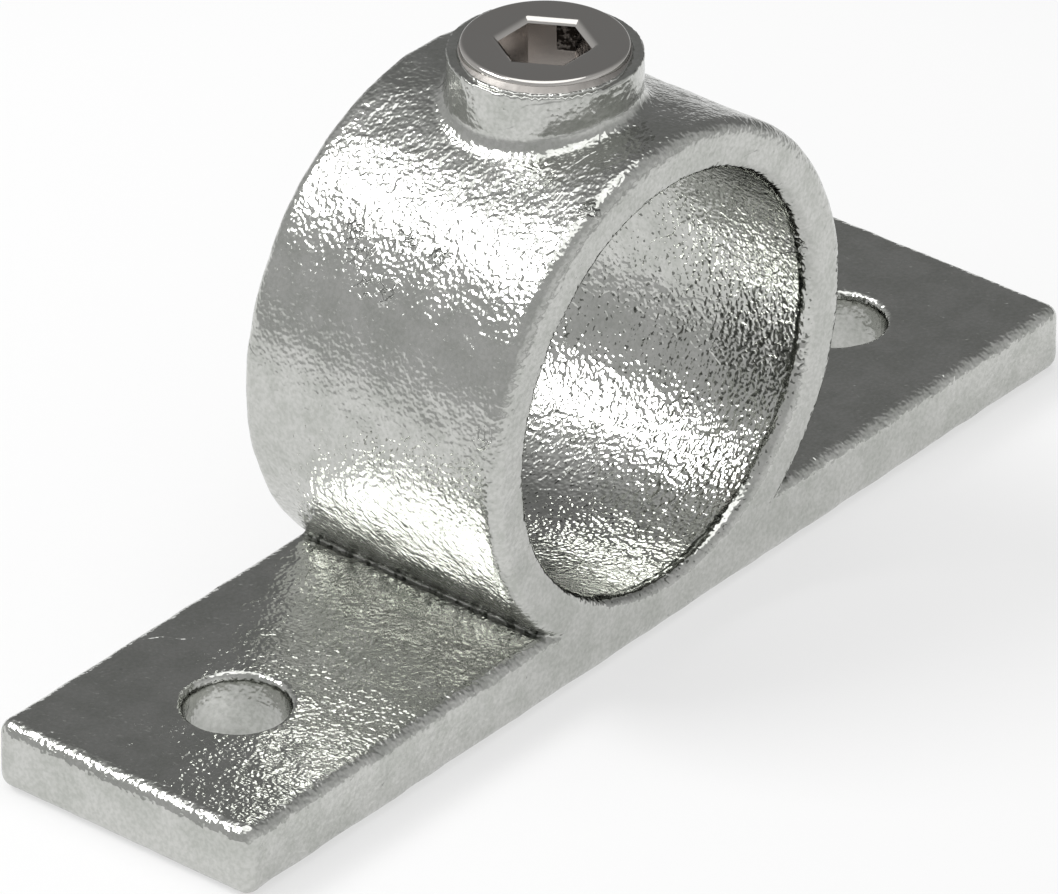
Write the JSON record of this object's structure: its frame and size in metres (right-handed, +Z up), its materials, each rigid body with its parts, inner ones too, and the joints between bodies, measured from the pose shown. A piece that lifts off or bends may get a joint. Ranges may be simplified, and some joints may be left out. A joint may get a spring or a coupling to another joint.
{
  "type": "double lug tube clamp",
  "caption": "Galvanised cast tube clamp: a flat plate with a bolt hole in each end, a ring over its middle that a handrail tube passes through, and a socket set screw that grips the tube.",
  "frame": {"origin": "centre of the plate's underside, below the middle of the ring", "axes": "+X along the plate through both bolt holes, +Y along the tube, +Z up through the ring and the set screw"},
  "size_m": [0.1284, 0.0324, 0.0606],
  "materials": {
    "galvanised_casting": "hot-dip galvanised, bright grey with a fine cast grain",
    "screw_steel": "smooth turned steel, warm grey"
  },
  "bodies": {
    "clamp_body": {"clamp_casting": "galvanised_casting"},
    "screw_body": {"set_screw": "screw_steel"}
  },
  "joints": [
    {"name": "screw_travel", "type": "slide", "parent": "clamp_body", "child": "screw_body", "axis": [0, 0, 1], "range_m": [-0.00267, 0.00802]}
  ]
}
